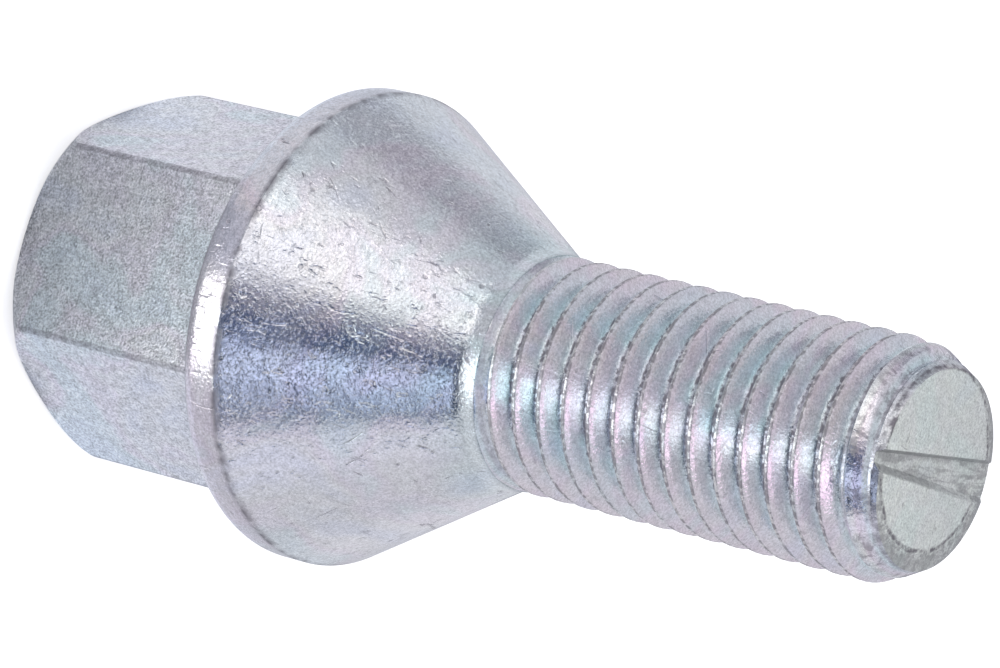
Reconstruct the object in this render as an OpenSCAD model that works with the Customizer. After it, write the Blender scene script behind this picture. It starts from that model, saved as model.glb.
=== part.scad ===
// Wheel bolt: hexagon head, round collar, conical seat and threaded shank, forged and rolled as one piece.
// The bolt stands on its head end: the origin is the centre of that face, and +Z runs along the bolt to its tip.

/* [Hexagon] */
// Width of the hexagon across its flats
hex_af = 17; // [15:0.5:19]
// Height of the hexagon, from the head end to the back of the collar
hex_h = 14.3; // [8:0.1:20]
// Radius of the rounding round the head end
hex_round = 2.3; // [1:0.1:3]

/* [Seat] */
// Diameter of the collar
collar_d = 24.2; // [23:0.1:28]
// Thickness of the collar, from its back to the foot of the cone
collar_t = 2.3; // [1.8:0.1:4]
// Radius of the rounding on the back edge of the collar
collar_round = 0.9; // [0.4:0.1:1.2]
// Full angle of the conical seat
seat_angle = 60; // [50:1:90]
// Radius of the hollow fillet between the seat and the shank
neck_fillet = 2.4; // [1:0.1:3]

/* [Thread] */
// Nominal diameter of the thread
thread_d = 12; // [10:0.5:14]
// Pitch of the thread
pitch = 1.5; // [1:0.25:2]
// Length of the threaded shank, from the end of the fillet to the tip
thread_l = 23.1; // [14:0.1:40]
// How far the crests stay inside the nominal diameter, on each side
crest_clearance = 0.05; // [0:0.01:0.1]
// Length over which the first groove sinks in, next to the fillet
run_in = 1; // [0.5:0.1:3]
// Turn of the thread about the axis
thread_turn = 106; // [0:1:359]

/* [Tip] */
// How far the edge of the flat end face lies inside the root of the thread
tip_inset = 0.18; // [0.1:0.02:1]
// Length of the chamfer at the tip
tip_chamfer = 2.1; // [0.5:0.1:3]
// Diameter of the flat that is left on the end face, inside its worn edge
flat_d = 8.9; // [7:0.1:9.6]
// How far off the axis the flat lies, towards the side where the edge is least worn
flat_offset = 0.55; // [0:0.05:1]
// Direction in which the flat lies off the axis
flat_turn = 225; // [0:1:359]
// Slope of the worn edge, from the plane of the end face
wear_slope = 12; // [3:1:40]
// Turn of the sheared notch across the end face, about the axis
notch_turn = 9; // [-180:1:180]
// Place of the notch's steep wall, from the axis
notch_offset = -0.7; // [-2:0.1:2]
// Width of the notch at the edge where it starts
notch_narrow = 1; // [0.8:0.1:2]
// Width of the notch at the edge where it ends
notch_wide = 2.4; // [1:0.1:3]
// Depth of the notch
notch_depth = 0.35; // [0.1:0.05:1]
// Width that the notch's steep wall takes up
notch_wall = 0.2; // [0.05:0.05:0.3]
// Width that the slope opposite the wall takes up
notch_slope = 0.4; // [0.1:0.05:0.5]

/* [Hidden] */

// Hexagon
hex_corner_r = hex_af / 2 / cos(30);
hex_reach = hex_h + collar_t / 2;

// Collar and seat
collar_r = collar_d / 2;
collar_top = hex_h + collar_t;
seat_slope = tan(seat_angle / 2);
crest_r = thread_d / 2 - crest_clearance;
seat_end = collar_top + (collar_r - crest_r) / seat_slope;
fillet_reach = neck_fillet * tan(seat_angle / 4);
thread_start = seat_end + fillet_reach;
bolt_l = thread_start + thread_l;

// Thread profile of the metric form: flanks at 60 degrees, flat crests and flat roots
flank_height = pitch * cos(30);
thread_depth = 17 / 24 * flank_height;
root_r = crest_r - thread_depth;
crest_w = pitch / 8;
root_w = pitch - crest_w - 2 * thread_depth * tan(30);
segments = 28;
// How far the threaded body reaches into the neck, and how far it stays inside the neck's surface
thread_sink = 0.6;
thread_inset = 0.02;

// End face
tip_r = root_r - tip_inset;

// One pitch of the profile: [height above the middle of the root, radius]
profile = [
    [-root_w / 2, root_r],
    [root_w / 2, root_r],
    [(pitch - crest_w) / 2, crest_r - thread_inset],
    [(pitch + crest_w) / 2, crest_r - thread_inset]
];
rows_per_turn = len(profile);
body_foot = thread_start - thread_sink;
turns = ceil((thread_l + thread_sink) / pitch) + 3;
rows = turns * rows_per_turn;

// Height of the middle of the first root at angle zero, more than a turn below the threaded body
first_root = body_foot - 2 * pitch - pitch * thread_turn / 360;

// Radius that the groove may not go below where it sinks in beside the neck
function run_in_r(z) =
    crest_r - thread_inset - thread_depth * max(0, min(1, (z - thread_start) / run_in));

// Radius that the crests may not go above on the chamfer of the tip
function chamfer_r(z) =
    tip_r + max(0, bolt_l - z) / tip_chamfer * (crest_r - tip_r);

// Point of the threaded body on row m of the helix, at segment i of the turn
function thread_point(m, i) =
    let (
        angle = 360 * i / segments,
        on_profile = profile[m % rows_per_turn],
        rise = first_root + floor(m / rows_per_turn) * pitch + on_profile[0] + pitch * i / segments,
        z = max(body_foot, min(bolt_l, rise)),
        r = min(max(on_profile[1], run_in_r(z)), chamfer_r(z))
    )
    [r * cos(angle), r * sin(angle), z];

// How far the cutters of the notch and of the worn edge reach past the end face, and where the notch starts
cut_clear = 1;
notch_reach = tip_r + cut_clear;

// Number of a point in the list. A row that goes once round arrives one turn higher.
function point_index(m, i) =
    i < segments ? m * segments + i : min(m + rows_per_turn, rows) * segments;

// Whether a triangle has three different corners, which it lacks where rows are squeezed onto an end face
function has_area(points, face) =
    points[face[0]] != points[face[1]] && points[face[1]] != points[face[2]] && points[face[2]] != points[face[0]];

// Threaded body as one closed skin whose rows follow the helix
module threaded_body() {
    points = [for (m = [0:rows]) for (i = [0:segments - 1]) thread_point(m, i)];
    skin = [
        for (m = [0:rows - 1])
            for (i = [0:segments - 1])
                let (
                    low = point_index(m, i),
                    low_next = point_index(m, i + 1),
                    high = point_index(m + 1, i),
                    high_next = point_index(m + 1, i + 1)
                )
                each [[low, high, high_next], [low, high_next, low_next]]
    ];
    foot = [for (i = [0:segments - 1]) i];
    end = [for (i = [0:segments - 1]) rows * segments + segments - 1 - i];
    sides = [for (face = skin) if (has_area(points, face)) face];
    polyhedron(points = points, faces = concat(sides, [foot, end]));
}

// Hexagon with a round-nosed end, as the forging die leaves it. It runs on into the collar.
module hexagon() {
    intersection() {
        cylinder(h = hex_reach, r = hex_corner_r, $fn = 6);
        rotate_extrude($fn = 72) {
            square([hex_corner_r - hex_round, hex_reach]);
            translate([0, hex_round])
                square([hex_corner_r, hex_reach - hex_round]);
            translate([hex_corner_r - hex_round, hex_round])
                circle(r = hex_round, $fn = 24);
        }
    }
}

// Half section of the collar, the cone and the neck, up to the foot of the thread
module seat_section() {
    translate([0, hex_h])
        square([collar_r - collar_round, collar_t]);
    translate([0, hex_h + collar_round])
        square([collar_r, collar_t - collar_round]);
    translate([collar_r - collar_round, hex_h + collar_round])
        circle(r = collar_round, $fn = 24);
    difference() {
        polygon([
            [0, collar_top],
            [collar_r, collar_top],
            [crest_r + fillet_reach * sin(seat_angle / 2), seat_end - fillet_reach * cos(seat_angle / 2)],
            [crest_r, thread_start],
            [0, thread_start]
        ]);
        translate([crest_r + neck_fillet, thread_start])
            circle(r = neck_fillet, $fn = 48);
    }
}

// One end of the notch: a steep wall, a flat floor and a slope back up to the end face
function notch_end(side, width) = [
    [0, side * notch_reach, cut_clear],
    [0, side * notch_reach, 0],
    [notch_wall, side * notch_reach, -notch_depth],
    [width - notch_slope, side * notch_reach, -notch_depth],
    [width, side * notch_reach, 0],
    [width, side * notch_reach, cut_clear]
];

// Notch left where the bar was sheared: it fans out across the face
module sheared_notch() {
    corners = len(notch_end(1, notch_wide));
    near = [for (i = [0:corners - 1]) corners - 1 - i];
    far = [for (i = [0:corners - 1]) corners + i];
    sides = [
        for (i = [0:corners - 1])
            let (next = (i + 1) % corners)
            [i, next, corners + next, corners + i]
    ];
    polyhedron(
        points = concat(notch_end(-1, notch_narrow), notch_end(1, notch_wide)),
        faces = concat([near, far], sides)
    );
}

// Ring that takes the edge off the end face. It lies off the axis, so one side is worn more than the other.
module edge_wear() {
    drop = tan(wear_slope);
    rotate_extrude($fn = 72)
        polygon([
            [flat_d / 2 - cut_clear, cut_clear * drop],
            [flat_d / 2 + 2 * cut_clear, -2 * cut_clear * drop],
            [flat_d / 2 + 2 * cut_clear, cut_clear * drop]
        ]);
}

module wheel_bolt() {
    color([0.72, 0.74, 0.77])
    difference() {
        union() {
            hexagon();
            rotate_extrude($fn = 72)
                seat_section();
            threaded_body();
        }
        translate([0, 0, bolt_l])
            rotate(notch_turn)
                translate([notch_offset, 0, 0])
                    sheared_notch();
        translate([flat_offset * cos(flat_turn), flat_offset * sin(flat_turn), bolt_l])
            edge_wear();
    }
}

wheel_bolt();
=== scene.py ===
import math
from collections import namedtuple
from functools import reduce

import bmesh
import bpy
from mathutils import Matrix, Vector


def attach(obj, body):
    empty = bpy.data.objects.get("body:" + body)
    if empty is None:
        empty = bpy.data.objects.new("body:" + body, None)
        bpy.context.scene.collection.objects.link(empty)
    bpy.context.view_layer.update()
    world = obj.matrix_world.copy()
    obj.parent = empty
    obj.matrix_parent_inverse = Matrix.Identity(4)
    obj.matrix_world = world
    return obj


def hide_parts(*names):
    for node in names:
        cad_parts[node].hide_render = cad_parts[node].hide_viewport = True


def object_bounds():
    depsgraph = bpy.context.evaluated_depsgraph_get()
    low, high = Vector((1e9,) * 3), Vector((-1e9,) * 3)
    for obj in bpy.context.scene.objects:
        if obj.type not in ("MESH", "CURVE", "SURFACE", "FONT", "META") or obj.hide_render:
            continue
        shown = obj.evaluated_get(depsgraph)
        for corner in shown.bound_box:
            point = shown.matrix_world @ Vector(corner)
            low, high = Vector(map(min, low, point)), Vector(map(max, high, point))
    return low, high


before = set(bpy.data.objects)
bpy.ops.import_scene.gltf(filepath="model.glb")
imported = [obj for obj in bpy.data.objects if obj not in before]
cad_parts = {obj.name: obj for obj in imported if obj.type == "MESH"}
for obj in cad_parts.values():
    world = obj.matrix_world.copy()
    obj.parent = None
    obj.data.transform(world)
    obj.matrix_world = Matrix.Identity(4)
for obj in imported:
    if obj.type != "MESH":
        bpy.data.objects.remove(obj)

MM = 0.001
cad_box = [list(corner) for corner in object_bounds()]

# Sizes of the bolt in metres, and its angles
HEX_AF = 17 * MM
HEX_H = 14.3 * MM
HEX_ROUND = 2.3 * MM
HEX_EDGE = 0.16 * MM
COLLAR_R = 12.1 * MM
COLLAR_T = 2.3 * MM
COLLAR_ROUND = 0.9 * MM
COLLAR_LIP = 0.14 * MM
SEAT_HALF_ANGLE = math.radians(30)
NECK_FILLET = 2.4 * MM
CREST_R = 5.95 * MM
CREST_INSET = 0.02 * MM
PITCH = 1.5 * MM
TIP_R = 4.85 * MM
TIP_CHAMFER = 2.1 * MM
BOLT_L = cad_box[1][2]
RUN_IN = 1.0 * MM
THREAD_SINK = 0.6 * MM
THREAD_TURN = math.radians(106)
FLAT_R = 4.45 * MM
FLAT_OFFSET = 0.55 * MM
FLAT_TURN = math.radians(225)
WEAR_SLOPE = math.radians(12)
NOTCH_TURN = math.radians(9)
NOTCH_OFFSET = -0.7 * MM
NOTCH_NARROW = 1.0 * MM
NOTCH_WIDE = 2.4 * MM
NOTCH_DEPTH = 0.35 * MM
NOTCH_WALL = 0.2 * MM
NOTCH_SLOPE = 0.4 * MM

# How far the hexagon runs into the collar, and how far cutting bodies reach past what they cut
HEX_OVERLAP = 0.4 * MM
CUT_CLEAR = 1.0 * MM

HEX_CORNER_R = HEX_AF / 2 / math.cos(math.radians(30))
COLLAR_TOP = HEX_H + COLLAR_T
SEAT_END = COLLAR_TOP + (COLLAR_R - CREST_R) / math.tan(SEAT_HALF_ANGLE)
FILLET_REACH = NECK_FILLET * math.tan(SEAT_HALF_ANGLE / 2)
THREAD_START = SEAT_END + FILLET_REACH
THREAD_DEPTH = 17 / 24 * PITCH * math.cos(math.radians(30))
ROOT_R = CREST_R - THREAD_DEPTH
THREAD_FOOT = THREAD_START - THREAD_SINK
NOTCH_REACH = TIP_R + CUT_CLEAR

# How far the thread rises over its turn about the axis
TURN_RISE = PITCH * THREAD_TURN / (2 * math.pi)

# Fineness of the meshes: steps in a full turn, steps in each rounding, and rows along the cone
NOSE_STEPS = 192
SEAT_STEPS = 256
THREAD_STEPS = 72
WEAR_STEPS = 96
HEX_ROUND_STEPS = 20
COLLAR_ROUND_STEPS = 10
COLLAR_LIP_STEPS = 3
NECK_FILLET_STEPS = 12
CONE_ROWS = 24

# Small turn that keeps the corners of the seat's mesh and of the worn ring's off those of the shank's
SEAM_TURN = math.radians(0.4)

# Distances, in metres, within which corners are merged or count as lying on a cut, and the angle between
# faces past which an edge stays sharp
MERGE_DIST = 1e-7
THREAD_MERGE_DIST = 1e-6
CUT_DIST = 1e-8
SHARP_ANGLE = math.radians(24)

# Camera: where the bolt lies in the photograph's frame of 1000 by 668 pixels
IMAGE_W, IMAGE_H = 1000, 668
FOCAL_PIXELS = 6100.6
CAMERA_DISTANCE = 0.30152
CLIP_NEAR, CLIP_FAR = 0.01, 10
AIM_HEIGHT = 25 * MM
AIM_X, AIM_Y = 501.85, 362.62
AXIS_SLOPE = math.radians(13.624)
VIEW_TILT = math.radians(36.066)
FRONT_FLAT_TURN = math.radians(5.263)
SENSOR_W = 36.0


# Mesh building

def in_scene(name, data):
    """Object for a mesh, camera or lamp, linked to the scene."""
    thing = bpy.data.objects.new(name, data)
    bpy.context.scene.collection.objects.link(thing)
    return thing


def new_piece(name, bm):
    """Turns a bmesh into an object at the origin, with doubles merged and faces pointing outwards."""
    bmesh.ops.remove_doubles(bm, verts=bm.verts, dist=MERGE_DIST)
    bmesh.ops.recalc_face_normals(bm, faces=bm.faces)
    mesh = bpy.data.meshes.new(name)
    bm.to_mesh(mesh)
    bm.free()
    return in_scene(name, mesh)


def arc(centre, radius, start, end, steps):
    """Points of an arc in the half section, as (radius, height)."""
    return [
        (centre[0] + radius * math.cos(start + (end - start) * i / steps),
         centre[1] + radius * math.sin(start + (end - start) * i / steps))
        for i in range(steps + 1)
    ]


def draw_section(bm, points, closed=False):
    """Draws a half section from (radius, height) points. Returns its vertices and edges."""
    verts = [bm.verts.new((r, 0, z)) for r, z in points]
    after = verts[1:] + verts[:1] if closed else verts[1:]
    return verts + [bm.edges.new(pair) for pair in zip(verts, after)]


def spun_body(points, steps, closed=False):
    """Body of revolution, from a section that starts and ends on the axis or is closed in itself."""
    bm = bmesh.new()
    bmesh.ops.spin(bm, geom=draw_section(bm, points, closed), cent=(0, 0, 0), axis=(0, 0, 1),
                   angle=2 * math.pi, steps=steps, use_merge=True)
    bmesh.ops.remove_doubles(bm, verts=bm.verts, dist=MERGE_DIST)
    return bm


def turn_about_axis(bm, angle):
    """Turns a bmesh about the bolt's axis."""
    bmesh.ops.rotate(bm, verts=bm.verts, cent=(0, 0, 0), matrix=Matrix.Rotation(angle, 3, "Z"))


def hexagon_prism():
    """Six-sided bar with softened corners, a little longer at the collar so that it joins it."""
    bm = bmesh.new()
    bmesh.ops.create_circle(bm, cap_ends=True, segments=6, radius=HEX_CORNER_R)
    turn_about_axis(bm, math.pi / 2)
    grown = bmesh.ops.extrude_face_region(bm, geom=list(bm.faces))
    top = [v for v in grown["geom"] if isinstance(v, bmesh.types.BMVert)]
    bmesh.ops.translate(bm, verts=top, vec=(0, 0, HEX_H + HEX_OVERLAP))
    corners = [e for e in bm.edges if abs(e.verts[0].co.z - e.verts[1].co.z) > HEX_H / 2]
    bmesh.ops.bevel(bm, geom=corners, offset=HEX_EDGE, affect="EDGES", segments=3, profile=0.5, material=-1)
    return new_piece("hexagon", bm)


def nose_body():
    """Round-nosed bar that trims the end of the hexagon."""
    nose = arc((HEX_CORNER_R - HEX_ROUND, HEX_ROUND), HEX_ROUND, -math.pi / 2, 0, HEX_ROUND_STEPS)
    outline = [(0, 0), *nose, (HEX_CORNER_R, HEX_H + CUT_CLEAR), (0, HEX_H + CUT_CLEAR)]
    return new_piece("nose", spun_body(outline, NOSE_STEPS))


def seat_body():
    """Collar, conical seat and hollow neck as one turned body."""
    slope = SEAT_HALF_ANGLE
    lip = COLLAR_LIP * math.tan(slope / 2)
    back = arc((COLLAR_R - COLLAR_ROUND, HEX_H + COLLAR_ROUND), COLLAR_ROUND, -math.pi / 2, 0,
               COLLAR_ROUND_STEPS)
    foot = arc((COLLAR_R - COLLAR_LIP, COLLAR_TOP - lip), COLLAR_LIP, 0, slope, COLLAR_LIP_STEPS)
    fillet = arc((CREST_R + NECK_FILLET, THREAD_START), NECK_FILLET, math.pi + slope, math.pi,
                 NECK_FILLET_STEPS)
    (foot_r, foot_z), (neck_r, neck_z) = foot[-1], fillet[0]
    shares = [row / CONE_ROWS for row in range(1, CONE_ROWS)]
    cone = [(foot_r + (neck_r - foot_r) * share, foot_z + (neck_z - foot_z) * share) for share in shares]
    outline = [(0, HEX_H), (COLLAR_R - COLLAR_ROUND, HEX_H), *back[1:], *foot, *cone, *fillet,
               (0, THREAD_START)]
    bm = spun_body(outline, SEAT_STEPS)
    turn_about_axis(bm, SEAM_TURN)
    return new_piece("seat", bm)


def thread_profile():
    """One pitch of the thread, from the middle of a root to the middle of the next, as (radius, height):
    softened root, straight flank, softened crest, and the same back again."""
    crest_w = PITCH / 8
    flank_w = THREAD_DEPTH * math.tan(math.radians(30))
    root_w = PITCH - crest_w - 2 * flank_w
    low, high = ROOT_R, CREST_R - CREST_INSET
    half = [(low, 0), (low + 0.01 * MM, root_w * 0.3), (low + 0.06 * MM, root_w * 0.5 + 0.02 * MM)]
    for share in (0.25, 0.5, 0.75, 0.93):
        half.append((low + (high - low) * share, root_w / 2 + flank_w * share))
    half.append((high - 0.012 * MM, root_w / 2 + flank_w + 0.006 * MM))
    half.append((high, PITCH / 2 - crest_w * 0.3))
    back = [(r, PITCH - z) for r, z in reversed(half)]
    return half + back


def shank_body():
    """Threaded shank: one pitch of the profile swept along the helix, then trimmed flat at both ends. It is
    swept from two turns below the shank to more than a turn above."""
    turns = math.ceil((BOLT_L - THREAD_FOOT) / PITCH) + 3
    bottom = THREAD_FOOT - 2 * PITCH - TURN_RISE
    bm = bmesh.new()
    profile = draw_section(bm, [(r, bottom + z) for r, z in thread_profile()])
    bmesh.ops.spin(bm, geom=profile, cent=(0, 0, 0), axis=(0, 0, 1), angle=2 * math.pi * turns,
                   steps=THREAD_STEPS * turns, dvec=(0, 0, PITCH / THREAD_STEPS))
    bmesh.ops.remove_doubles(bm, verts=bm.verts, dist=THREAD_MERGE_DIST)
    for v in bm.verts:
        r = math.hypot(v.co.x, v.co.y)
        sunk = min(max((v.co.z - THREAD_START) / RUN_IN, 0), 1)
        chamfer_r = TIP_R + max(BOLT_L - v.co.z, 0) / TIP_CHAMFER * (CREST_R - TIP_R)
        wanted = min(max(r, CREST_R - CREST_INSET - THREAD_DEPTH * sunk), chamfer_r)
        v.co.x *= wanted / r
        v.co.y *= wanted / r
    for height, outer in ((THREAD_FOOT, False), (BOLT_L, True)):
        bmesh.ops.bisect_plane(bm, geom=list(bm.verts) + list(bm.edges) + list(bm.faces), dist=CUT_DIST,
                               plane_co=(0, 0, height), plane_no=(0, 0, 1),
                               clear_outer=outer, clear_inner=not outer)
    bmesh.ops.remove_doubles(bm, verts=bm.verts, dist=THREAD_MERGE_DIST)
    bmesh.ops.holes_fill(bm, edges=[e for e in bm.edges if e.is_boundary], sides=0)
    return new_piece("shank", bm)


def notch_end(side, width):
    """One end of the notch: a steep wall, a flat floor and a slope back up to the end face."""
    y = side * NOTCH_REACH
    return [(0, y, CUT_CLEAR), (0, y, 0), (NOTCH_WALL, y, -NOTCH_DEPTH),
            (width - NOTCH_SLOPE, y, -NOTCH_DEPTH), (width, y, 0), (width, y, CUT_CLEAR)]


def notch_cutter():
    """Bar that cuts the sheared notch, which fans out across the end face."""
    bm = bmesh.new()
    near, far = [[bm.verts.new(place) for place in notch_end(side, width)]
                 for side, width in ((-1, NOTCH_NARROW), (1, NOTCH_WIDE))]
    bm.faces.new(near)
    bm.faces.new(far)
    for i, corner in enumerate(near):
        after = (i + 1) % len(near)
        bm.faces.new((corner, near[after], far[after], far[i]))
    bmesh.ops.transform(bm, verts=bm.verts, matrix=Matrix.Translation((0, 0, BOLT_L))
                        @ Matrix.Rotation(NOTCH_TURN, 4, "Z") @ Matrix.Translation((NOTCH_OFFSET, 0, 0)))
    return new_piece("notch", bm)


def edge_wear():
    """Ring that takes the edge off the end face. It lies off the axis, so one side is worn more."""
    drop = math.tan(WEAR_SLOPE) * CUT_CLEAR
    outer_r = FLAT_R + 2 * CUT_CLEAR
    section = [(FLAT_R - CUT_CLEAR, drop), (outer_r, -2 * drop), (outer_r, drop)]
    bm = spun_body(section, WEAR_STEPS, closed=True)
    turn_about_axis(bm, SEAM_TURN)
    aside = Vector((math.cos(FLAT_TURN), math.sin(FLAT_TURN), 0)) * FLAT_OFFSET
    bmesh.ops.translate(bm, verts=bm.verts, vec=aside + Vector((0, 0, BOLT_L)))
    return new_piece("edge_wear", bm)


def combine(target, tool, operation):
    """Joins, trims or cuts the target with another body, and removes that body."""
    change = target.modifiers.new(operation.lower(), "BOOLEAN")
    change.object = tool
    change.operation = operation
    change.solver = "EXACT"
    depsgraph = bpy.context.evaluated_depsgraph_get()
    done = bpy.data.meshes.new_from_object(target.evaluated_get(depsgraph))
    target.modifiers.clear()
    target.data = done
    bpy.data.objects.remove(tool)


def wheel_bolt():
    """Whole bolt as one closed skin."""
    bolt = hexagon_prism()
    combine(bolt, nose_body(), "INTERSECT")
    combine(bolt, seat_body(), "UNION")
    combine(bolt, shank_body(), "UNION")
    combine(bolt, edge_wear(), "DIFFERENCE")
    combine(bolt, notch_cutter(), "DIFFERENCE")
    bolt.name = "bolt_skin"
    for face in bolt.data.polygons:
        face.use_smooth = True
    bpy.context.view_layer.objects.active = bolt
    bolt.select_set(True)
    bpy.ops.object.shade_smooth_by_angle(angle=SHARP_ANGLE)
    bolt.select_set(False)
    return bolt


# Materials

def feed(tree, node, inputs):
    """Links a node's inputs to sockets, or sets them to numbers, vectors and colours without alpha. Inputs
    go by name or number."""
    for key, value in inputs.items():
        socket = node.inputs[key]
        if isinstance(value, bpy.types.NodeSocket):
            tree.links.new(value, socket)
        else:
            socket.default_value = (*value, 1) if socket.type == "RGBA" else value


def node_at(tree, kind, inputs, **settings):
    """Adds a node with its settings and inputs."""
    node = tree.nodes.new(kind)
    for key, value in settings.items():
        setattr(node, key, value)
    feed(tree, node, inputs)
    return node


def maths(tree, operation, *values, clamp=False):
    """Math node on sockets or numbers. Returns its output."""
    inputs = dict(enumerate(values))
    return node_at(tree, "ShaderNodeMath", inputs, operation=operation, use_clamp=clamp).outputs[0]


def product(tree, *values):
    """Several values multiplied together."""
    return reduce(lambda first, second: maths(tree, "MULTIPLY", first, second), values)


def largest(tree, *values):
    """Largest of several values."""
    return reduce(lambda first, second: maths(tree, "MAXIMUM", first, second), values)


def gap(tree, first, second):
    """How far apart two values are."""
    return maths(tree, "ABSOLUTE", maths(tree, "SUBTRACT", first, second))


def axes_of(tree, vector):
    """X, Y and Z of a vector, as outputs by name."""
    return node_at(tree, "ShaderNodeSeparateXYZ", {"Vector": vector}).outputs


def blend_colour(tree, share, first, second, mode="MIX"):
    """Mixes two colours, given as sockets or plain values. Returns the colour output."""
    node = node_at(tree, "ShaderNodeMix", {0: share, 6: first, 7: second}, data_type="RGBA", blend_type=mode)
    return node.outputs[2]


def remap(tree, value, low, high, to_low=0.0, to_high=1.0, smooth=True):
    """Moves a value from one range to another and keeps it there, with eased ends unless told otherwise."""
    inputs = {"Value": value, "From Min": low, "From Max": high, "To Min": to_low, "To Max": to_high}
    node = node_at(tree, "ShaderNodeMapRange", inputs, clamp=True,
                   interpolation_type="SMOOTHSTEP" if smooth else "LINEAR")
    return node.outputs["Result"]


def colour_ramp(tree, value, interpolation, stops):
    """Colour that a value picks from a ramp with stops of (place, colour)."""
    node = node_at(tree, "ShaderNodeValToRGB", {"Fac": value})
    node.color_ramp.interpolation = interpolation
    elements = node.color_ramp.elements
    while len(elements) < len(stops):
        elements.new(0.5)
    for element, (place, colour) in zip(elements, stops):
        element.position = place
        element.color = (*colour, 1)
    return node.outputs["Color"]


def noise(tree, vector, scale, detail=2.0, roughness=0.5, distortion=0.0, stretch=None, turn=(0, 0, 0)):
    """Noise of so many blotches a metre, stretched and turned where asked. Returns the value output."""
    if stretch:
        inputs = {"Vector": vector, "Scale": stretch, "Rotation": turn}
        vector = node_at(tree, "ShaderNodeMapping", inputs).outputs["Vector"]
    inputs = {"Vector": vector, "Scale": scale, "Detail": detail, "Roughness": roughness,
              "Distortion": distortion}
    return node_at(tree, "ShaderNodeTexNoise", inputs).outputs["Fac"]


def waver(tree, vector, scale, detail, reach):
    """Noise to either side of zero, which makes a straight border wander."""
    value = noise(tree, vector, scale, detail, roughness=0.6)
    return product(tree, maths(tree, "SUBTRACT", value, 0.5), reach)


def effect_group(name, values, outputs):
    """Empty shader node group that takes a vector and named values. Returns the group, what it is given and
    the node that collects what it makes."""
    group = bpy.data.node_groups.new(name, "ShaderNodeTree")
    group.interface.new_socket(name="Vector", in_out="INPUT", socket_type="NodeSocketVector")
    for value in values:
        group.interface.new_socket(name=value, in_out="INPUT", socket_type="NodeSocketFloat")
    for output, kind in outputs.items():
        group.interface.new_socket(name=output, in_out="OUTPUT", socket_type=kind)
    return group, group.nodes.new("NodeGroupInput").outputs, group.nodes.new("NodeGroupOutput")


# How steeply grains rise out of the threshold, how much of the speckle is crystals and the rest clouds, how
# much of the film's drift is fine, and how deep and how dirty dents are beside scratches
GRAIN_RISE = 2.5
CRYSTAL_SHARE = 0.65
FINE_DRIFT = 0.12
DENT_DEPTH = 0.7
DENT_DIRT = 0.3


def grain_group():
    """Sand-like grain of the plated surface, with a coarser ripple under it. Only what stands over the
    threshold is raised, so a high threshold leaves smooth metal with single specks. Speckle is the light
    and dark of the crystals."""
    group, given, made = effect_group("plating_grain", ("Grain Scale", "Threshold", "Ripple"),
                                      {"Height": "NodeSocketFloat", "Speckle": "NodeSocketFloat"})
    vector = given["Vector"]
    fine = noise(group, vector, given["Grain Scale"], roughness=0.6)
    over = maths(group, "SUBTRACT", fine, given["Threshold"])
    over = maths(group, "MULTIPLY", over, GRAIN_RISE, clamp=True)
    height = maths(group, "MULTIPLY_ADD", noise(group, vector, 1500), given["Ripple"], over)
    crystals = remap(group, noise(group, vector, 8000, roughness=0.7), 0.36, 0.64, smooth=False)
    clouds = remap(group, noise(group, vector, 2200, detail=3.0, roughness=0.6), 0.30, 0.70, smooth=False)
    clouds = product(group, clouds, 1 - CRYSTAL_SHARE)
    speckle = maths(group, "MULTIPLY_ADD", crystals, CRYSTAL_SHARE, clouds)
    feed(group, made, {"Height": height, "Speckle": speckle})
    return group


def film_group():
    """Faint colours of the clear passivation: it drifts from blue through straw, rose and green to blue."""
    group, given, made = effect_group("passivation_film", (), {"Color": "NodeSocketColor"})
    drift = noise(group, given["Vector"], 160, distortion=0.6)
    fine = noise(group, given["Vector"], 900, detail=1.0)
    thickness = maths(group, "ADD", drift, product(group, fine, FINE_DRIFT))
    colour = colour_ramp(group, thickness, "B_SPLINE", (
        (0.30, (0.88, 0.92, 1.00)), (0.42, (0.97, 0.96, 1.00)), (0.50, (1.00, 0.99, 0.94)),
        (0.57, (1.00, 0.90, 0.97)), (0.64, (0.92, 1.00, 0.96)), (0.78, (0.88, 0.94, 1.00))))
    feed(group, made, {"Color": colour})
    return group


def scratch_group():
    """Handling marks that mostly run along the bolt: small dents, slanted scratches and pits. Height is how
    deep they are, Mask where dirt sits in them."""
    group, given, made = effect_group("handling_marks", ("Amount",),
                                      {"Height": "NodeSocketFloat", "Mask": "NodeSocketFloat"})
    vector, amount = given["Vector"], given["Amount"]
    patches = remap(group, noise(group, vector, 240), 0.40, 0.58)
    dents = remap(group, noise(group, vector, 2100, distortion=0.2, stretch=(1, 1, 0.22)), 0.62, 0.74)
    scratches = []
    for turn, stretch in (((0.5, 0.3, 0.4), (1, 7, 1)), ((-0.3, 0.9, 1.3), (6, 1, 1))):
        lines = noise(group, vector, 420, roughness=0.6, distortion=0.8, stretch=stretch, turn=turn)
        scratches.append(remap(group, lines, 0.66, 0.77))
    cells = node_at(group, "ShaderNodeTexVoronoi", {"Vector": vector, "Scale": 1500.0, "Randomness": 1.0})
    chosen = remap(group, noise(group, vector, 800, detail=1.0), 0.60, 0.66)
    pits = product(group, remap(group, cells.outputs["Distance"], 0.26, 0.10), chosen)
    sharp = product(group, largest(group, *scratches, pits), patches, amount)
    soft = product(group, dents, amount, DENT_DEPTH)
    feed(group, made, {"Height": product(group, largest(group, sharp, soft), -1.0),
                       "Mask": largest(group, sharp, product(group, soft, DENT_DIRT))})
    return group


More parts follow.
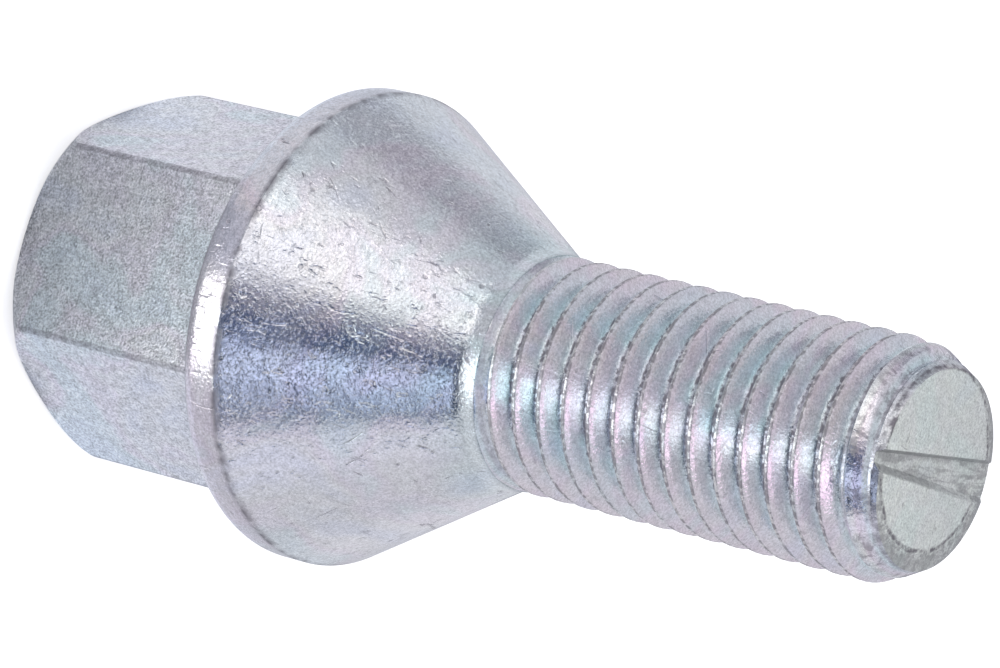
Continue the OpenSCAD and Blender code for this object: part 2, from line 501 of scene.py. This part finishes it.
def line_group():
    """Dark band round the bolt at one height, broken up by noise; it draws lines of dirt and of painted
    shade.
    """
    group, given, made = effect_group("corner_line", ("Height", "Width", "Broken"),
                                      {"Mask": "NodeSocketFloat"})
    vector = given["Vector"]
    off = gap(group, axes_of(group, vector)["Z"], given["Height"])
    near = maths(group, "SUBTRACT", 1.0, maths(group, "DIVIDE", off, given["Width"]), clamp=True)
    ragged = remap(group, noise(group, vector, 1400, detail=3.0), 0.35, 0.65)
    lost = product(group, maths(group, "SUBTRACT", 1.0, ragged), given["Broken"])
    feed(group, made, {"Mask": product(group, near, maths(group, "SUBTRACT", 1.0, lost))})
    return group


def helix_group():
    """Place across one turn of the thread: 0 in the middle of a root, 0.5 on the crest, and the radius."""
    group, given, made = effect_group("thread_place", (),
                                      {"Phase": "NodeSocketFloat", "Radius": "NodeSocketFloat"})
    axes = axes_of(group, given["Vector"])
    angle = maths(group, "DIVIDE", maths(group, "ARCTAN2", axes["Y"], axes["X"]), 2 * math.pi)
    risen = maths(group, "SUBTRACT", axes["Z"], THREAD_FOOT - TURN_RISE)
    turns = maths(group, "DIVIDE", risen, PITCH)
    squares = [maths(group, "POWER", axes[axis], 2.0) for axis in ("X", "Y")]
    feed(group, made, {"Phase": maths(group, "FRACT", maths(group, "SUBTRACT", turns, angle)),
                       "Radius": maths(group, "SQRT", maths(group, "ADD", *squares))})
    return group


EFFECTS = {"grain": grain_group(), "film": film_group(), "marks": scratch_group(),
           "line": line_group(), "helix": helix_group()}


def effect(tree, name, vector, **values):
    """Places a shared effect in a material with its own values. Returns its outputs."""
    inputs = {key.replace("_", " ").title(): value for key, value in values.items()}
    node = tree.nodes.new("ShaderNodeGroup")
    node.node_tree = EFFECTS[name]
    feed(tree, node, {"Vector": vector, **inputs})
    return node.outputs


def new_material(name):
    """Material with its node tree and its shader."""
    mat = bpy.data.materials.new(name)
    mat.use_nodes = True
    return mat, mat.node_tree, mat.node_tree.nodes["Principled BSDF"]


WHITE = (1.0, 1.0, 1.0)
BLACK = (0.0, 0.0, 0.0)

# Grime and painted shade: their colour, how much rougher they make the plating, and how thick they lie in
# each place
GRIME_AND_SHADE = (0.15, 0.135, 0.16)
GRIME_ROUGHNESS = 0.3
GRIME_IN_MARKS = 0.55
GRIME_ON_HEAD = 0.45
GRIME_AND_SHADE_ON_SEAT = 0.9
GRIME_ON_EDGE = 0.55
GRIME_ROUND_FLAT = 0.85
SHADE_UNDER_WALL = 0.5

# How far the gloss varies from place to place, and how deep the handling marks are
UNEVEN_GLOSS = 0.06
MARK_DEPTH = 0.035 * MM

# Washes of colour on the front flat, the collar and the neck
FLAT_PALE = (1.04, 1.04, 1.04)
FLAT_MOTTLE = (0.10, 0.13, 0.12)
COLLAR_MAUVE = (0.96, 0.92, 0.94)
NECK_MINT = (0.91, 0.98, 0.97)


def zinc(name, base, roughness, film, speckle, marks, grain_scale, grain_depth, threshold, ripple, dirt):
    """Zinc plating with its own grain, film colours and marks. dirt(tree, vector) gives a mask of grime and
    painted shade, and a wash of colour to multiply by or None."""
    mat, tree, shader = new_material(name)
    vector = node_at(tree, "ShaderNodeTexCoord", {}).outputs["Object"]
    grain = effect(tree, "grain", vector, grain_scale=grain_scale, threshold=threshold, ripple=ripple)
    mark = effect(tree, "marks", vector, amount=marks)
    mask, wash = dirt(tree, vector)
    colour = blend_colour(tree, film, base, effect(tree, "film", vector)["Color"], "MULTIPLY")
    level = remap(tree, grain["Speckle"], 0.0, 1.0, 1.0 - speckle, 1.0 + speckle, smooth=False)
    shade = node_at(tree, "ShaderNodeCombineColor", {"Red": level, "Green": level, "Blue": level})
    colour = blend_colour(tree, 1.0, colour, shade.outputs["Color"], "MULTIPLY")
    if wash is not None:
        colour = blend_colour(tree, 1.0, colour, wash, "MULTIPLY")
    # This mask holds dirt in marks and the painted shade of the thread, notch and neck
    grime = largest(tree, product(tree, mark["Mask"], GRIME_IN_MARKS), mask)
    gloss = remap(tree, noise(tree, vector, 350, detail=3.0), 0.3, 0.7, roughness - UNEVEN_GLOSS,
                  roughness + UNEVEN_GLOSS, smooth=False)
    rough = maths(tree, "ADD", gloss, product(tree, grime, GRIME_ROUGHNESS), clamp=True)
    fine = node_at(tree, "ShaderNodeBump",
                   {"Strength": 1.0, "Distance": grain_depth, "Height": grain["Height"]})
    coarse = node_at(tree, "ShaderNodeBump", {"Strength": 1.0, "Distance": MARK_DEPTH,
                                              "Height": mark["Height"], "Normal": fine.outputs["Normal"]})
    feed(tree, shader, {"Base Color": blend_colour(tree, grime, colour, GRIME_AND_SHADE), "Metallic": 1.0,
                        "Roughness": rough, "Normal": coarse.outputs["Normal"]})
    return mat


def head_grime(tree, vector):
    """Dark soft lines on the hexagon's corners and in its joint with the collar. The wash mottles the
    front flat with dark green grey."""
    radius = effect(tree, "helix", vector)["Radius"]
    corner = remap(tree, radius, HEX_CORNER_R - 0.13 * MM, HEX_CORNER_R - 0.07 * MM)
    ragged = remap(tree, noise(tree, vector, 1600, detail=4.0, roughness=0.7), 0.35, 0.65, 0.6, 0.95)
    joint = effect(tree, "line", vector, height=HEX_H, width=0.35 * MM, broken=0.4)["Mask"]
    lines = largest(tree, product(tree, corner, ragged), joint)
    front = remap(tree, axes_of(tree, vector)["Y"], 0.3 * MM - HEX_AF / 2, 0.1 * MM - HEX_AF / 2, 0.0, 0.3)
    mottled = remap(tree, noise(tree, vector, 5200, detail=3.0, roughness=0.7), 0.52, 0.38)
    wash = blend_colour(tree, product(tree, front, mottled), FLAT_PALE, FLAT_MOTTLE)
    return product(tree, lines, GRIME_ON_HEAD), wash


def seat_grime_and_shade(tree, vector):
    """Worn dirty line where the collar meets the cone, a softer dark line in the joint with the hexagon and a
    faint line of painted shade at the neck. The wash is mauve on the collar and mint towards the neck."""
    lines = largest(tree, *[
        product(tree, effect(tree, "line", vector, height=height, width=width, broken=broken)["Mask"], share)
        for height, width, broken, share in (
            (COLLAR_TOP - 0.02 * MM, 0.34 * MM, 0.75, 0.95),
            (HEX_H + 0.2 * MM, 0.45 * MM, 0.6, 0.65),
            # Painted shade: the faint line at the neck, in the run-out groove
            (THREAD_START - 0.03 * MM, 0.09 * MM, 0.8, 0.25))])
    height = axes_of(tree, vector)["Z"]
    on_cone = remap(tree, height, COLLAR_TOP - 0.15 * MM, COLLAR_TOP)
    at_neck = remap(tree, height, SEAT_END - 3 * MM, THREAD_START - MM)
    wash = blend_colour(tree, on_cone, COLLAR_MAUVE, WHITE)
    return product(tree, lines, GRIME_AND_SHADE_ON_SEAT), blend_colour(tree, at_neck, wash, NECK_MINT)


def thread_shade_and_grime(tree, vector):
    """Painted shade: dark broken lines in the root and on the crest of every turn, which start at the neck
    and end on the chamfer; the worn edge's grime is added to them. The wash is pale green on the flank
    towards the head, runs from rose to blue on the flank towards the tip, and is darker in the root as
    painted shade."""
    phase = effect(tree, "helix", vector)["Phase"]
    off_root = gap(tree, maths(tree, "FRACT", maths(tree, "ADD", phase, 0.5)), 0.5)
    uneven = waver(tree, vector, 2600, 2.0, 0.16)
    # Painted shade: a dark line in the root of each turn, and a fainter one at the crest's edge
    root = remap(tree, maths(tree, "ADD", off_root, uneven), 0.105, 0.06)
    crest = remap(tree, maths(tree, "ADD", off_root, product(tree, uneven, 0.35)), 0.42, 0.455, 0.0, 0.88)
    ragged = remap(tree, noise(tree, vector, 3600, roughness=0.6), 0.40, 0.56, 0.25, 1.0)
    height = axes_of(tree, vector)["Z"]
    chamfer_start = BOLT_L - TIP_CHAMFER
    ending = remap(tree, height, chamfer_start - 0.3 * MM, chamfer_start + 0.5 * MM, 0.8, 0.0)
    begun = remap(tree, height, THREAD_START + 0.1 * MM, THREAD_START + PITCH, 0.25, 1.0)
    lines = product(tree, largest(tree, root, crest), ragged, ending, begun)
    # Painted shade: the wash is darker in the root
    wash = colour_ramp(tree, phase, "EASE", (
        (0.00, (0.84, 0.86, 0.90)), (0.30, (0.95, 0.99, 0.99)), (0.50, (1.00, 1.00, 0.98)),
        (0.60, (1.00, 0.94, 0.98)), (0.74, (0.98, 0.96, 1.00)), (0.88, (0.89, 0.98, 1.00)),
        (1.00, (0.84, 0.86, 0.90))))
    return largest(tree, lines, worn_edge(tree, vector)), wash


def worn_edge(tree, vector):
    """Mottled grime on the worn edge and chamfer of the tip, with a dark line round the flat."""
    flat_middle = (FLAT_OFFSET * math.cos(FLAT_TURN), FLAT_OFFSET * math.sin(FLAT_TURN), BOLT_L)
    distance = node_at(tree, "ShaderNodeVectorMath", {0: vector, 1: flat_middle}, operation="DISTANCE")
    past_flat = maths(tree, "SUBTRACT", distance.outputs["Value"], FLAT_R)
    outside = remap(tree, past_flat, 0.0, 0.10 * MM)
    height = axes_of(tree, vector)["Z"]
    near_end = remap(tree, height, BOLT_L - 0.42 * MM, BOLT_L - 0.26 * MM)
    mottled = remap(tree, noise(tree, vector, 2400, detail=4.0, roughness=0.7), 0.38, 0.60, 0.1, 1.0)
    border = maths(tree, "ABSOLUTE", maths(tree, "ADD", past_flat, waver(tree, vector, 700, 3.0, 0.5 * MM)))
    line = remap(tree, border, 0.20 * MM, 0.03 * MM)
    ragged = remap(tree, noise(tree, vector, 2600, detail=4.0, roughness=0.7), 0.36, 0.60, 0.2, 1.0)
    chamfer = remap(tree, height, BOLT_L - 1.9 * MM, BOLT_L - 1.2 * MM)
    scuffs = noise(tree, vector, 1500, detail=4.0, roughness=0.7, distortion=0.6)
    scuffs = remap(tree, scuffs, 0.48, 0.62, 0.0, 0.5)
    return largest(tree, product(tree, near_end, outside, mottled, GRIME_ON_EDGE),
                   product(tree, chamfer, outside, scuffs),
                   product(tree, line, ragged, near_end, GRIME_ROUND_FLAT))


def tip_shade_and_grime(tree, vector):
    """Painted shade under the notch's steep wall and on the slope opposite, streaks along its floor, and the
    grime of the worn edge. It has no wash."""
    turned = node_at(tree, "ShaderNodeMapping", {"Vector": vector, "Rotation": (0, 0, NOTCH_TURN)},
                     vector_type="TEXTURE").outputs["Vector"]
    axes = axes_of(tree, turned)
    across = maths(tree, "ADD", maths(tree, "SUBTRACT", axes["X"], NOTCH_OFFSET),
                   waver(tree, vector, 900, 3.0, 0.5 * MM))
    share = maths(tree, "DIVIDE", maths(tree, "ADD", axes["Y"], NOTCH_REACH), 2 * NOTCH_REACH)
    width = maths(tree, "MULTIPLY_ADD", share, NOTCH_WIDE - NOTCH_NARROW, NOTCH_NARROW)
    depth = remap(tree, axes["Z"], BOLT_L - 0.01 * MM, BOLT_L - 0.1 * MM)
    # Painted shade under the steep wall and on the slope opposite
    wall = remap(tree, across, 0.60 * MM, 0.10 * MM)
    slope = remap(tree, maths(tree, "SUBTRACT", width, across), NOTCH_SLOPE + 0.12 * MM,
                  NOTCH_SLOPE - 0.1 * MM)
    fading = remap(tree, share, 0.75, 0.35, 0.12, 0.42)
    streaks = noise(tree, turned, 2400, detail=3.0, roughness=0.6, distortion=0.5, stretch=(1, 0.2, 1))
    notch_shade_and_streaks = largest(tree, product(tree, wall, SHADE_UNDER_WALL), product(tree, slope, fading),
                     remap(tree, streaks, 0.45, 0.62, 0.12, 0.5))
    return largest(tree, product(tree, notch_shade_and_streaks, depth), worn_edge(tree, vector)), None


def bolt_materials():
    """The bolt's finishes, in the order of the regions that take them."""
    return [
        zinc("zinc_flats", base=(0.72, 0.74, 0.77), roughness=0.36, film=0.8, speckle=0.50, marks=0.5,
             grain_scale=8000, grain_depth=0.035 * MM, threshold=0.30, ripple=1.6, dirt=head_grime),
        zinc("zinc_seat", base=(0.75, 0.765, 0.79), roughness=0.19, film=0.8, speckle=0.24, marks=1.0,
             grain_scale=6000, grain_depth=0.015 * MM, threshold=0.50, ripple=1.7, dirt=seat_grime_and_shade),
        zinc("zinc_thread", base=(0.79, 0.80, 0.815), roughness=0.19, film=0.8, speckle=0.22, marks=0.4,
             grain_scale=5500, grain_depth=0.010 * MM, threshold=0.45, ripple=1.2, dirt=thread_shade_and_grime),
        zinc("zinc_tip", base=(0.76, 0.80, 0.765), roughness=0.34, film=0.4, speckle=0.26, marks=0.6,
             grain_scale=6500, grain_depth=0.020 * MM, threshold=0.30, ripple=1.6, dirt=tip_shade_and_grime),
    ]


ON_FLATS, ON_SEAT, ON_THREAD, ON_TIP = range(4)
REGION_MARGIN = 0.01 * MM


def region_of(face):
    """Which finish a face of the bolt takes: that of the hexagon, the collar and seat, the thread or the
    end face."""
    centre, normal = face.center, face.normal
    radius = math.hypot(centre.x, centre.y)
    in_hexagon = centre.z < HEX_H + REGION_MARGIN and radius < HEX_CORNER_R + REGION_MARGIN
    if in_hexagon and normal.z < 0.5:
        return ON_FLATS
    if centre.z < THREAD_START + REGION_MARGIN:
        return ON_SEAT
    on_end = radius < TIP_R - 2 * REGION_MARGIN and centre.z > BOLT_L - 1.2 * NOTCH_DEPTH
    return ON_TIP if on_end else ON_THREAD


# Stage, camera and light

def camera_axes():
    """The photograph's right, down and forward directions, in the bolt's own frame."""
    slope, tilt = AXIS_SLOPE, VIEW_TILT
    along = Vector((math.cos(slope) * math.cos(tilt), math.sin(slope) * math.cos(tilt), -math.sin(tilt)))
    across = Vector((-math.sin(slope), math.cos(slope), 0))
    away = along.cross(across)
    bolt_y = across * math.sin(FRONT_FLAT_TURN) + away * math.cos(FRONT_FLAT_TURN)
    bolt_x = bolt_y.cross(along)
    to_bolt = Matrix((bolt_x, bolt_y, along))
    return to_bolt @ Vector((1, 0, 0)), to_bolt @ Vector((0, 1, 0)), to_bolt @ Vector((0, 0, 1))


UP = Vector((0, 0, 1))
RIGHT, DOWN, FORWARD = camera_axes()
NEAR = Vector((-FORWARD.x, -FORWARD.y, 0)).normalized()
ABOVE = NEAR.cross(UP)
AIM = UP * AIM_HEIGHT

# Panels of the light tent: by angle and height in degrees where they stand round the bolt, and by their lean
# from the zenith towards the top of the picture and towards the camera where they hang over it. Panels of the
# card on the floor have as heights their distances in millimetres from the bolt's axis.
Panel = namedtuple("Panel", "angle half_angle height half_height soft colour")
TENT_BASE = (0.68, 0.69, 0.74)
TENT_PANELS = (
    Panel(-24, 33, 17, 15, 3, (0.05, 0.08, 0.18)),
    Panel(3, 7, 17, 15, 5, (0.34, 0.33, 0.42)),
    Panel(-29, 8.5, 17, 15, 3, (0.98, 1.10, 1.44)),
    Panel(-45, 6.5, 17, 15, 2, (0.66, 0.74, 1.00)),
    Panel(-27, 8, 31, 10, 2, (0.80, 0.88, 1.16)),
    Panel(21, 11, 24, 18, 6, (0.92, 0.90, 0.93)),
    Panel(-24, 32, 8, 8.5, 1.5, (0.03, 0.05, 0.10)),
    Panel(30, 21, 8, 8, 1.5, (1.40, 1.34, 1.34)),
    Panel(106, 15, 10, 16, 6, (0.40, 0.39, 0.45)),
    Panel(-74, 14, 14, 14, 6, (0.82, 0.82, 0.92)),
)
OVERHEAD_PANELS = (
    Panel(-13, 9, 4, 11, 2.5, (1.60, 1.34, 1.60)),
    Panel(19, 15, -2, 14, 4, (0.54, 0.54, 0.56)),
    Panel(0, 14, -21, 8, 3, (1.38, 1.41, 1.32)),
)
CARD_R = 1500 * MM
CARD_STEPS = 64
CARD_LIFT = 0.05 * MM
CARD_BASE = (0.62, 0.63, 0.69)
CARD_PANELS = (
    Panel(8, 36, 10, 20, 2, (0.46, 0.48, 0.53)),
    Panel(98, 46, 10, 15.5, 2, (0.84, 0.87, 0.95)),
    Panel(-82, 46, 10, 15.5, 2, (0.82, 0.85, 0.96)),
    Panel(72, 36, 33, 6, 3, (0.82, 0.79, 0.83)),
    # Painted contact shadow: dark disc on the card under the head
    Panel(0, 180, 0, 8.8, 0.5, (0.08, 0.08, 0.10)),
    Panel(0, 180, 90, 42, 6, (0.80, 0.80, 0.86)),
    Panel(38, 30, 90, 42, 8, (0.60, 0.60, 0.64)),
    Panel(-22, 15, 90, 42, 6, (1.90, 2.05, 2.15)),
    Panel(-12, 16, 36, 8, 4, (3.40, 3.40, 3.45)),
    Panel(-17, 10, 530, 400, 4, (1.80, 1.80, 1.85)),
    Panel(106, 15, 575, 425, 6, (0.40, 0.39, 0.45)),
    Panel(180, 17, 700, 700, 5, (0.09, 0.09, 0.13)),
)

# Reach of the floor in metres, its colour, and the glow that lifts it to white where the camera sees it
FLOOR_REACH = 3
FLOOR_COLOUR = (0.9, 0.9, 0.9)
FLOOR_GLOW = 0.6


def place_camera():
    """Camera with the long lens and the tilt that the photograph has."""
    data = bpy.data.cameras.new("camera")
    data.sensor_width = SENSOR_W
    data.lens = SENSOR_W * FOCAL_PIXELS / IMAGE_W
    data.clip_start, data.clip_end = CLIP_NEAR, CLIP_FAR
    camera = in_scene("camera", data)
    aside = (AIM_X - IMAGE_W / 2) / FOCAL_PIXELS * CAMERA_DISTANCE
    below = (AIM_Y - IMAGE_H / 2) / FOCAL_PIXELS * CAMERA_DISTANCE
    place = AIM - RIGHT * aside - DOWN * below - FORWARD * CAMERA_DISTANCE
    turn = Matrix((RIGHT, -DOWN, -FORWARD)).transposed().to_4x4()
    camera.matrix_world = Matrix.Translation(place) @ turn
    bpy.context.scene.camera = camera


def lamp(name, towards, distance, size, power):
    """Soft lamp, placed from the bolt by how far right, up and near the camera it stands."""
    data = bpy.data.lights.new(name, "AREA")
    data.shape = "RECTANGLE"
    data.size, data.size_y = size
    data.energy = power
    way = (RIGHT * towards[0] - DOWN * towards[1] - FORWARD * towards[2]).normalized()
    in_scene(name, data).matrix_world = (Matrix.Translation(AIM + way * distance)
                                         @ way.to_track_quat("Z", "Y").to_matrix().to_4x4())


def reach_along(tree, vector, direction):
    """How far a vector reaches in a fixed direction."""
    inputs = {0: vector, 1: direction}
    return node_at(tree, "ShaderNodeVectorMath", inputs, operation="DOT_PRODUCT").outputs["Value"]


def round_the_bolt(tree, vector):
    """Angle round the bolt in degrees: 0 towards the camera, 90 towards the top of the picture."""
    above, near = [reach_along(tree, vector, direction) for direction in (ABOVE, NEAR)]
    return maths(tree, "DEGREES", maths(tree, "ARCTAN2", above, near))


def paint_panels(tree, angle, height, base, panels):
    """Colour with soft-edged panels on it, each a Panel in the angle round the bolt and in height."""
    colour = base
    for panel in panels:
        turned = maths(tree, "WRAP", maths(tree, "SUBTRACT", angle, panel.angle), 180, -180)
        shares = [
            remap(tree, off, half + panel.soft, half - panel.soft)
            for off, half in ((maths(tree, "ABSOLUTE", turned), panel.half_angle),
                              (gap(tree, height, panel.height), panel.half_height))]
        colour = blend_colour(tree, product(tree, *shares), colour, panel.colour)
    return colour


def floor():
    """Plain pale floor. The camera sees it white, also in reflections and through glass, and it keeps the
    bolt's soft shadow."""
    bm = bmesh.new()
    bmesh.ops.create_grid(bm, x_segments=1, y_segments=1, size=FLOOR_REACH)
    piece = new_piece("floor", bm)
    mat, tree, shader = new_material("white_floor")
    seen = node_at(tree, "ShaderNodeLightPath", {}).outputs
    white = largest(tree, seen["Is Camera Ray"], seen["Is Glossy Ray"], seen["Is Transmission Ray"])
    feed(tree, shader, {"Base Color": FLOOR_COLOUR, "Roughness": 0.9, "Specular IOR Level": 0.0,
                        "Emission Color": WHITE, "Emission Strength": product(tree, white, FLOOR_GLOW)})
    piece.data.materials.append(mat)


def floor_card():
    """Painted card on the floor round the head, which only reflections see. It gives the flats, the collar
    and the outline of the bolt their tones, and its dark disc under the head is a painted contact shadow."""
    bm = bmesh.new()
    bmesh.ops.create_circle(bm, cap_ends=True, segments=CARD_STEPS, radius=CARD_R)
    bmesh.ops.translate(bm, verts=bm.verts, vec=(0, 0, CARD_LIFT))
    card = new_piece("floor_card", bm)
    card.visible_camera = card.visible_shadow = card.visible_diffuse = False
    mat, tree, shader = new_material("floor_card")
    vector = node_at(tree, "ShaderNodeTexCoord", {}).outputs["Object"]
    length = node_at(tree, "ShaderNodeVectorMath", {0: vector}, operation="LENGTH").outputs["Value"]
    radius = maths(tree, "DIVIDE", length, MM)
    colour = paint_panels(tree, round_the_bolt(tree, vector), radius, CARD_BASE, CARD_PANELS)
    feed(tree, shader, {"Base Color": BLACK, "Specular IOR Level": 0.0, "Emission Color": colour,
                        "Emission Strength": 1.0})
    card.data.materials.append(mat)


def surroundings():
    """Light tent over the floor: a pale dome with lighter and darker panels, plain white to the camera."""
    world = bpy.data.worlds.new("studio")
    world.use_nodes = True
    tree = world.node_tree
    direction = node_at(tree, "ShaderNodeTexCoord", {}).outputs["Generated"]
    elevation, lean_up, lean_near = [
        maths(tree, "DEGREES", maths(tree, "ARCSINE", reach_along(tree, direction, axis)))
        for axis in (UP, ABOVE, NEAR)]
    tent = paint_panels(tree, round_the_bolt(tree, direction), elevation, TENT_BASE, TENT_PANELS)
    tent = paint_panels(tree, lean_up, lean_near, tent, OVERHEAD_PANELS)
    seen = node_at(tree, "ShaderNodeLightPath", {}).outputs["Is Camera Ray"]
    feed(tree, tree.nodes["Background"], {"Color": blend_colour(tree, seen, tent, WHITE), "Strength": 1.0})
    bpy.context.scene.world = world


bolt = wheel_bolt()
bolt.data.materials.clear()
for finish in bolt_materials():
    bolt.data.materials.append(finish)
for side in bolt.data.polygons:
    side.material_index = region_of(side)
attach(bolt, "root")
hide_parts("wheel_bolt")

place_camera()
floor()
surroundings()
floor_card()
lamp("overhead_softbox", towards=(0.0, 0.62, 0.78), distance=0.45, size=(0.34, 0.16), power=0.06)

bpy.context.scene.view_settings.view_transform = "Standard"
